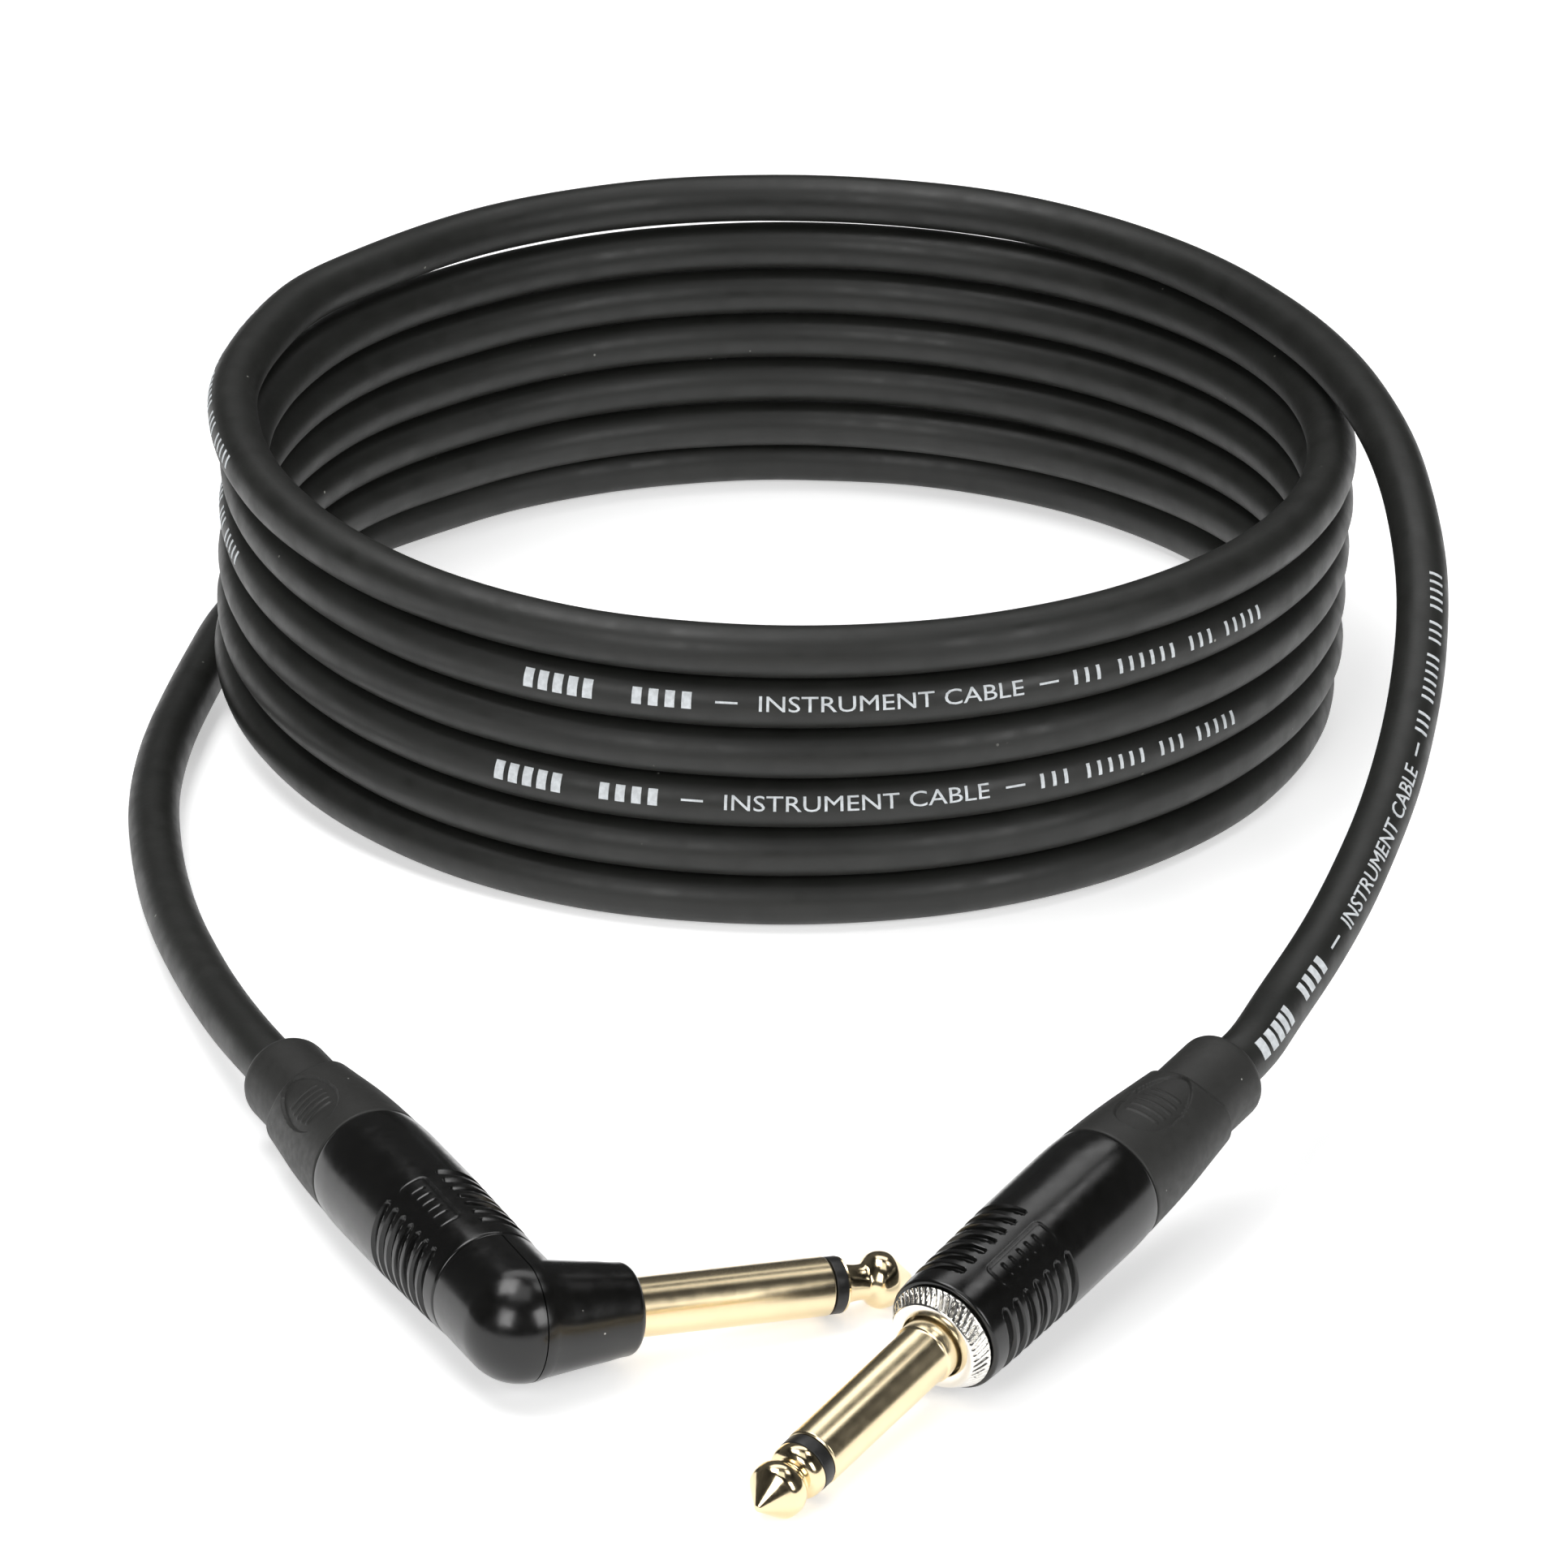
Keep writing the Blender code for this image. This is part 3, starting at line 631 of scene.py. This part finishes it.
def add_lead():
    """The jacket as one tube from plug to plug."""
    path = lead_route()
    steps = np.arange(len(path))
    radius = CORD_R + 0.00001 * np.sin(steps * 0.61) + 0.000012 * np.sin(steps * 0.173 + 1.0)
    mesh = tube_mesh("lead_jacket", path, radius, 24)
    lead = add_piece("lead_jacket", mesh, "cord_jacket", "root",
                     ("cable_coil", "cable_tail_straight", "cable_tail_angle"), 60.0)
    add_prints(path)


add_lead()


# ---------------------------------------------------------------- contact pins
def pin_profile_tip(ring_end, waist):
    """Tip contact: neck, ball, cone and blunt point."""
    profile = [(0.0, 31.0), (0.24, 30.99), (0.37, 30.95), (0.45, 30.87), (1.2, 30.08),
               (2.0, 29.24), (2.78, 28.42), (2.83, 28.36), (2.92, 28.24), (3.01, 28.0),
               (3.07, 27.7), (3.1, 27.35), (3.09, 27.0), (3.02, 26.68), (2.9, 26.4),
               (2.72, 26.12), (2.5, 25.87), (2.28, 25.66), (2.1, 25.5), (1.99, 25.36)]
    if waist:
        profile += [(1.95, 25.28), (2.0, 25.2), (2.2, 25.12), (2.48, 24.99), (2.72, 24.82),
                    (2.88, 24.62), (2.98, 24.38), (3.04, 24.05), (3.06, ring_end + 0.3),
                    (3.03, ring_end + 0.1)]
    else:
        profile += [(1.94, 25.15), (1.92, 24.85), (1.94, 24.4), (2.0, 23.9), (2.1, 23.4),
                    (2.2, ring_end + 0.66), (2.33, ring_end + 0.4), (2.6, ring_end + 0.32),
                    (2.9, ring_end + 0.28), (2.98, ring_end + 0.2)]
    profile += [(2.9, ring_end + 0.04), (1.0, ring_end + 0.04), (1.0, -9.5), (1.4, -9.5),
                (1.4, -12.0), (0.0, -12.0)]
    return profile


def add_pin(prefix, place, sleeve_end, ring_end, waist, collar, flange_r, flange_front):
    """Tip, insulating ring and sleeve of one plug."""
    mesh = turned_mesh(prefix + "_tip", place, pin_profile_tip(ring_end, waist), 96, False)
    add_piece(prefix + "_tip", mesh, "gold_plate", "root",
              [prefix + "_tip_contact"], 40.0)
    ring = [(1.3, ring_end), (2.9, ring_end), (3.07, ring_end - 0.08), (3.07, sleeve_end + 0.2),
            (2.95, sleeve_end + 0.12), (1.9, sleeve_end + 0.12), (1.9, -7.5), (1.3, -7.5)]
    mesh = turned_mesh(prefix + "_tip_ring", place, rounded(ring, 0.05), 96)
    add_piece(prefix + "_tip_ring", mesh, "insulator_black", "root",
              [prefix + "_tip_insulator"])
    flange_back = flange_front - 1.8
    sleeve = [(2.2, sleeve_end), (2.98, sleeve_end), (3.175, sleeve_end - 0.2)]
    if collar:
        sleeve += [(3.175, 1.9), (3.22, 1.72), (3.4, 1.6), (3.4, 0.1), (3.36, 0.02)]
    sleeve += [(3.4 if collar else 3.175, flange_front), (flange_r, flange_front),
               (flange_r, flange_back), (2.9, flange_back), (2.9, -7.2), (2.2, -7.2)]
    mesh = turned_mesh(prefix + "_sleeve", place, rounded(sleeve, 0.06), 96)
    add_piece(prefix + "_sleeve", mesh, "gold_barrel", "root",
              [prefix + "_sleeve_contact"], 40.0)


add_pin("straight", STRAIGHT_PIN, 21.6, 23.3, True, True, 5.2, -2.3)
add_pin("angle", ANGLE_PIN, 20.8, 22.3, False, False, 3.8, -3.5)


def add_knurled_ring():
    """Bright tapered ring with slanted knurls round the foot of the straight pin."""
    knurls, around = 46, 46 * 16
    angles = np.linspace(0.0, 2.0 * math.pi, around, endpoint=False)
    rows = []
    cone = [(3.68, -0.06, 0), (3.74, 0.0, 0), (4.86, 0.0, 0), (4.98, -0.05, 0), (5.06, -0.16, 0)]
    cone += [(5.06 + 0.92 * t, -0.16 - 1.64 * t, 1) for t in np.linspace(0.04, 0.96, 12)]
    cone += [(6.02, -1.86, 0), (6.0, -2.0, 0), (3.7, -2.0, 0)]
    for radius, height, cut in cone:
        wave = np.abs(((angles * knurls / (2 * math.pi) + height * 0.8) % 1.0) * 2.0 - 1.0)
        fade = cut * min(1.0, (height + 1.86) * 3.0, (-0.1 - height) * 3.0) if cut else 0.0
        r = radius - 0.36 * fade * smooth(wave, 0.55, 0.8)
        rows.append(np.stack([r * np.cos(angles), r * np.sin(angles),
                              np.full(around, height)], axis=1))
    mesh = loop_mesh("straight_knurl", STRAIGHT_PIN, rows, True)
    add_piece("straight_knurl", mesh, "nickel_plate", "root",
              ["straight_knurled_ring"], 50.0)


add_knurled_ring()


# ---------------------------------------------------------------- shells
SHELL_AROUND = 288
SHELL_OUTLINE = ((0.0, 6.28), (0.06, 6.4), (0.2, 6.5), (0.45, 6.53), (5.0, 6.75), (10.0, 6.85),
                 (16.0, 7.0), (23.0, 7.05), (29.9, 6.91), (30.08, 6.88), (30.2, 6.78))
GROOVES = 7
GROOVE_PITCH = 1.875
GROOVE_FIRST = 3.4
GROOVE_DEPTH = 0.46


def groove_depth(depth, phi, strip):
    """How far the grip grooves cut in, at a depth behind the front and an angle from up."""
    off = np.abs((phi - strip + 180.0) % 360.0 - 180.0)
    off = np.where(off > 90.0, 180.0 - off, off)
    arc_mm = np.radians(off - 24.4) * 6.9
    width = np.interp(arc_mm, [0.0, 2.5, 8.0], [0.92, 1.18, 1.38])
    total = np.zeros(np.broadcast(depth, phi).shape)
    for i in range(GROOVES):
        rear = GROOVE_FIRST + GROOVE_PITCH * i
        along = rear - depth
        half = width / 2
        beyond = np.minimum(arc_mm - half, 0.0)
        away = np.hypot(np.where(arc_mm < half, beyond, 0.0), along - half)
        inside = half - away
        ramp = np.clip((along / width), 0.0, 1.0)
        shape = smooth(inside, -0.03, 0.13) * (1.0 - 0.5 * smooth(ramp, 0.2, 1.0))
        total = np.maximum(total, GROOVE_DEPTH * shape)
    return total


def outline_mark(depth, phi, strip):
    """A plain engraved rounded frame in the smooth strip."""
    across = ((phi - strip + 180.0) % 360.0 - 180.0) * math.pi / 180.0 * 6.9
    x, y = np.abs(depth - 9.4) - 4.1, np.abs(across) - 0.85
    outside = np.hypot(np.maximum(x, 0.0), np.maximum(y, 0.0))
    edge = outside + np.minimum(np.maximum(x, y), 0.0) - 0.6
    bars = np.abs(((depth - 5.9) % 1.4) - 0.7)
    bar = smooth(0.19 - bars, -0.05, 0.05) * smooth(0.75 - np.abs(across), -0.06, 0.06)
    bar = bar * smooth(3.5 - np.abs(depth - 9.4), -0.05, 0.05)
    return 0.06 * np.maximum(smooth(0.14 - np.abs(edge), -0.06, 0.06), bar)


def add_shell(prefix, place, strip):
    """Glossy shell with two groups of grip grooves and a plain engraved frame."""
    rows_at = np.concatenate([[d for d, _ in SHELL_OUTLINE[:4]], np.arange(0.8, 1.7, 0.3),
                              np.arange(1.9, 15.4, 0.105), np.arange(15.7, 29.9, 0.8),
                              [d for d, _ in SHELL_OUTLINE[-3:]]])
    angles = np.linspace(0.0, 2.0 * math.pi, SHELL_AROUND, endpoint=False)
    phi = np.degrees(angles) - up_angle(place)
    outline_d, outline_r = zip(*SHELL_OUTLINE)
    radius = smooth_interp(rows_at, outline_d, outline_r)[:, None]
    radius = radius - groove_depth(rows_at[:, None], phi[None, :], strip)
    radius = radius - outline_mark(rows_at[:, None], phi[None, :], strip)
    outer = np.stack([radius * np.cos(angles), radius * np.sin(angles),
                      np.repeat(-rows_at[:, None], SHELL_AROUND, 1)], axis=2)
    inner = ring_rows([(5.7, -30.2), (5.7, -24.0), (5.7, -8.0), (5.7, 0.0)], SHELL_AROUND)
    mesh = loop_mesh(prefix + "_grip_shell", place, np.concatenate([outer, inner]), True)
    add_piece(prefix + "_grip_shell", mesh, "gloss_black", "root",
              [prefix + "_shell"], 38.0)


def smooth_interp(x, at, value):
    """Interpolation without kinks, for outlines."""
    x, at, value = np.asarray(x, float), np.asarray(at, float), np.asarray(value, float)
    slope = np.diff(value) / np.diff(at)
    tangent = np.concatenate([[slope[0]], (slope[:-1] + slope[1:]) / 2, [slope[-1]]])
    tangent[1:-1] = np.where(slope[:-1] * slope[1:] > 0, tangent[1:-1], 0.0)
    i = np.clip(np.searchsorted(at, x, side="right") - 1, 0, len(slope) - 1)
    h = at[i + 1] - at[i]
    t = (x - at[i]) / h
    return ((2 * t ** 3 - 3 * t ** 2 + 1) * value[i] + (t ** 3 - 2 * t ** 2 + t) * h * tangent[i]
            + (-2 * t ** 3 + 3 * t ** 2) * value[i + 1] + (t ** 3 - t ** 2) * h * tangent[i + 1])


STRAIGHT_STRIP = -34.0
ANGLE_STRIP = 21.4
add_shell("straight", STRAIGHT_BODY, STRAIGHT_STRIP)
add_shell("angle", ANGLE_BODY, ANGLE_STRIP)


# ---------------------------------------------------------------- boots
BOOT_FLANK = ((0.0, 6.9), (5.0, 6.75), (9.0, 6.5), (12.5, 6.15), (15.5, 5.85), (18.0, 5.62))
BOOT_TOP = ((0.0, 6.9), (5.0, 6.5), (10.0, 5.95), (14.5, 5.45), (17.0, 5.15), (20.0, 5.1))
BOOT_END = ((0.0, 5.1), (22.9, 5.1), (23.4, 5.06), (23.8, 4.92), (24.05, 4.72), (24.2, 4.45))


def boot_radius(depth, phi, centre, pointed_rear):
    """The boot's outer radius at a depth behind the seam and an angle from up."""
    off = (phi - centre + 180.0) % 360.0 - 180.0
    top = np.abs(np.cos(np.radians(off)))
    flank_r = smooth_interp(depth, *zip(*BOOT_FLANK))
    top_r = smooth_interp(depth, *zip(*BOOT_TOP))
    collar_r = np.interp(depth, *zip(*BOOT_END))
    body = flank_r + (top_r - flank_r) * smooth(top, 0.1, 0.97)
    edge = 16.5 - 1.5 * smooth(top, 0.35, 1.0)
    fall = smooth(depth, edge - 0.12, edge + 0.45)
    radius = body * (1.0 - fall) + collar_r * fall
    radius = np.where(depth < 20.0, np.maximum(radius, collar_r), radius)
    t = np.clip((depth - 3.0) / 12.0, 0.0, 1.0)
    t = t if pointed_rear else 1.0 - t
    half = 3.45 * np.power(t, 0.5) * np.power(1.0 - t, 0.56) / 0.4817
    for side in (off, (off + 360.0) % 360.0 - 180.0):
        across = np.radians(side) * 6.2
        inside = half - np.abs(across)
        pad = smooth(inside, -0.06, 0.13) * ((depth > 3.0) & (depth < 15.0))
        radius = radius - 0.36 * pad
        slot = np.abs(((depth - 5.6) % 1.25) - 0.625)
        rib = smooth(0.2 - slot, -0.08, 0.08) * smooth(inside - 1.0, 0.0, 0.15)
        rib = rib * smooth(np.abs(depth - 8.75), 3.2, 3.1)
        radius = radius + 0.13 * rib
    return radius


def add_boot(prefix, place, centre, pointed_rear):
    """Boot with a threaded spigot, a waisted skirt, two thumb pads and a collar."""
    angles = np.linspace(0.0, 2.0 * math.pi, SHELL_AROUND, endpoint=False)
    phi = np.degrees(angles) - up_angle(place)
    thread_at = np.arange(-6.9, -0.35, 0.11)
    wave = np.abs(((thread_at[:, None] + np.degrees(angles)[None, :] / 360.0) % 1.0) * 2.0 - 1.0)
    fade = np.clip(np.minimum(thread_at + 6.9, -0.45 - thread_at) * 2.0, 0.0, 1.0)[:, None]
    thread_r = 5.4 - 0.22 * wave * fade
    skirt_at = np.concatenate([[0.0, 0.0, 0.06, 0.16], np.arange(0.4, 2.6, 0.3),
                               np.arange(2.7, 17.6, 0.115), np.arange(17.8, 22.9, 0.5),
                               np.arange(22.9, 24.21, 0.13)])
    skirt_r = boot_radius(skirt_at[:, None], phi[None, :], centre, pointed_rear)
    skirt_r[0, :] = 5.4
    skirt_r[1, :] -= 0.14
    skirt_r[2, :] -= 0.05
    radius = np.concatenate([thread_r, skirt_r])
    depth = np.concatenate([thread_at, skirt_at]) + SHELL_L + SEAM_GAP
    depth[len(thread_at):] = SHELL_L + SEAM_GAP + skirt_at * (BOOT_L - SEAM_GAP) / skirt_at[-1]
    outer = np.stack([radius * np.cos(angles), radius * np.sin(angles),
                      np.repeat(-depth[:, None], SHELL_AROUND, 1)], axis=2)
    end = -SHELL_L - BOOT_L
    inner = ring_rows([(4.3, end), (4.25, end + 0.2), (4.5, end + 0.9), (4.5, end + 12.5),
                       (4.9, end + 13.5), (4.9, -SHELL_L + 6.76)], SHELL_AROUND)
    mesh = loop_mesh(prefix + "_grip_boot", place, np.concatenate([outer, inner]), True)
    add_piece(prefix + "_grip_boot", mesh, "boot_grey", prefix + "_boot_nut",
              [prefix + "_boot"], 36.0)
    lip = [(3.4, end + 10.0), (4.15, end + 10.0), (4.15, end + 0.4), (4.05, end - 0.12),
           (3.6, end - 0.35), (3.28, end - 0.3), (3.2, end + 0.05), (3.24, end + 1.2),
           (3.4, end + 1.6)]
    mesh = turned_mesh(prefix + "_gland_ring", place, rounded(lip, 0.15), 72)
    add_piece(prefix + "_gland_ring", mesh, "insulator_black", prefix + "_boot_nut",
              [prefix + "_boot_gland"], 50.0)


add_boot("straight", STRAIGHT_BODY, -10.0, True)
add_boot("angle", ANGLE_BODY, 37.0, False)


# ---------------------------------------------------------------- elbow
ELBOW_SIDES = 128


def elbow_half(name, keep_front):
    """One half of the elbow: barrel and dome, with the boss on the front half."""
    depth = -ELBOW_DROP + SEAM_GAP
    outline = [(0.0, depth), (ELBOW_R - 0.12, depth), (ELBOW_R, depth + 0.12)]
    outline += [(ELBOW_R, depth + 2.0), (ELBOW_R, depth + 4.5)]
    outline += arc(0.0, 0.0, ELBOW_R, 0, 90, 28)
    solid = new_object(name, turned_mesh(name, ANGLE_CORNER, outline, ELBOW_SIDES, False))
    cutters = []
    if keep_front:
        boss = [(0.0, -1.85), (3.95, -1.85)]
        boss += arc(3.95, -2.85, 1.0, 90, 8, 9)
        boss += [(5.0, -3.6), (5.24, -5.0), (5.6, -8.0), (5.95, -10.5), (6.42, -14.0), (6.5, -14.3)]
        boss += [(0.0, -14.3)]
        mesh = turned_mesh("boss", ANGLE_PIN, boss, ELBOW_SIDES, False)
        cutters.append((new_object("boss", mesh), "UNION"))
        hole = [(0.0, 0.5), (3.3, 0.5), (3.3, -3.6), (4.1, -3.6), (4.1, -15.3), (0.0, -15.3)]
        mesh = turned_mesh("hole", ANGLE_PIN, hole, 64, False)
        cutters.append((new_object("hole", mesh), "DIFFERENCE"))
    bore = [(0.0, 0.0), (5.0, 0.0), (5.0, depth - 2.0), (0.0, depth - 2.0)]
    mesh = turned_mesh("bore", ANGLE_CORNER, bore, 64, False)
    cutters.append((new_object("bore", mesh), "DIFFERENCE"))
    mesh = bpy.data.meshes.new("block")
    block = bmesh.new()
    bmesh.ops.create_cube(block, size=40.0)
    near = -PIN_BASE + ELBOW_SPLIT + (0.07 if keep_front else -0.07)
    bmesh.ops.translate(block, vec=(0.0, 0.0, near - 20.0), verts=block.verts)
    block.transform(ANGLE_PIN)
    block.to_mesh(mesh)
    block.free()
    cutters.append((new_object("block", mesh), "DIFFERENCE" if keep_front else "INTERSECT"))
    for cutter, operation in cutters:
        modifier = solid.modifiers.new(operation, "BOOLEAN")
        modifier.operation = operation
        modifier.solver = "EXACT"
        modifier.object = cutter
    bpy.context.view_layer.update()
    depsgraph = bpy.context.evaluated_depsgraph_get()
    shaped = bpy.data.meshes.new_from_object(solid.evaluated_get(depsgraph))
    for obj in [solid, *[c for c, _ in cutters]]:
        bpy.data.objects.remove(obj)
    return shaped


def new_object(name, mesh):
    """A helper object that elbow_half removes again."""
    obj = bpy.data.objects.new(name + "_work", mesh)
    SCENE.collection.objects.link(obj)
    return obj


def add_elbow():
    """Both halves of the elbow."""
    for name, node, keep_front in (("angle_elbow_front", "angle_elbow_housing", True),
                                   ("angle_elbow_rear", "angle_elbow_cover", False)):
        mesh = elbow_half(name, keep_front)
        mesh.materials.clear()
        add_piece(name, mesh, "gloss_black", "root", [node], 30.0)


add_elbow()


# ---------------------------------------------------------------- carried-over inner pieces
for record_part in frame["record"]["subparts"]:
    node = NODES[record_part["node"]]
    if not node.hide_render:
        for material_slot in node.material_slots:
            material_slot.material = MATERIALS[record_part["material_slot"]]


# ---------------------------------------------------------------- floor, light and world
def add_floor():
    """Plain pale floor, faintly bright by itself so that shadows stay light."""
    data = Shade("pale_floor", (0.93, 0.93, 0.93), 0.9, Emission_Color=(1.0, 1.0, 1.0, 1.0),
                 Emission_Strength=0.5)
    data.tint(data.noise(6.0), 1.01)
    mesh = bpy.data.meshes.new("floor")
    grid = bmesh.new()
    bmesh.ops.create_grid(grid, x_segments=8, y_segments=8, size=4.0)
    grid.to_mesh(mesh)
    grid.free()
    mesh.materials.append(data.material)
    floor = bpy.data.objects.new("floor", mesh)
    floor.location.z = -0.0001
    SCENE.collection.objects.link(floor)


def add_light(name, azimuth, rise, distance, width, height, watts):
    """A soft box that looks at the middle of the object from a heading and a rise."""
    data = bpy.data.lights.new(name, "AREA")
    data.shape = "RECTANGLE"
    data.size, data.size_y = width, height
    data.energy = watts
    light = bpy.data.objects.new(name, data)
    SCENE.collection.objects.link(light)
    target = Vector((0.0, 0.08, 0.0))
    away = direction(math.radians(azimuth), math.radians(rise))
    light.location = target + distance * away
    light.rotation_euler = away.to_track_quat("Z", "Y").to_euler()


def add_studio():
    """Dark studio with a pale low backdrop behind the object."""
    world = bpy.data.worlds.new("studio")
    SCENE.world = world
    world.use_nodes = True
    tree = world.node_tree

    def ramp(value, low, high, out_low, out_high):
        """A smooth step between two values of the glow."""
        made = tree.nodes.new("ShaderNodeMapRange")
        made.interpolation_type = "SMOOTHSTEP"
        tree.links.new(value, made.inputs["Value"])
        for key, number in (("From Min", low), ("From Max", high), ("To Min", out_low),
                            ("To Max", out_high)):
            made.inputs[key].default_value = number
        return made.outputs["Result"]

    way = tree.nodes.new("ShaderNodeSeparateXYZ")
    tree.links.new(tree.nodes.new("ShaderNodeTexCoord").outputs["Generated"], way.inputs[0])
    low = ramp(way.outputs["Z"], 0.45, 0.75, 1.4, 0.0)
    behind = ramp(way.outputs["Y"], -0.3, 0.7, 0.35, 1.0)
    glow = tree.nodes.new("ShaderNodeMath")
    glow.operation = "MULTIPLY_ADD"
    tree.links.new(low, glow.inputs[0])
    tree.links.new(behind, glow.inputs[1])
    glow.inputs[2].default_value = 0.24
    tree.links.new(glow.outputs[0], tree.nodes["Background"].inputs["Strength"])


add_floor()
add_light("softbox_front_left", -115.0, 30.0, 1.5, 0.60, 0.70, 7.0)
add_light("softbox_front_right", -43.0, 27.0, 1.5, 0.60, 0.70, 7.0)
add_light("softbox_over_left", 165.0, 72.0, 1.5, 0.80, 0.70, 9.0)
add_light("softbox_over_right", 22.0, 60.0, 1.5, 0.40, 0.35, 1.2)
add_light("softbox_behind", 90.0, 56.0, 1.6, 1.30, 0.50, 4.0)
add_light("softbox_above", -90.0, 80.0, 1.7, 1.10, 0.90, 4.0)
add_studio()
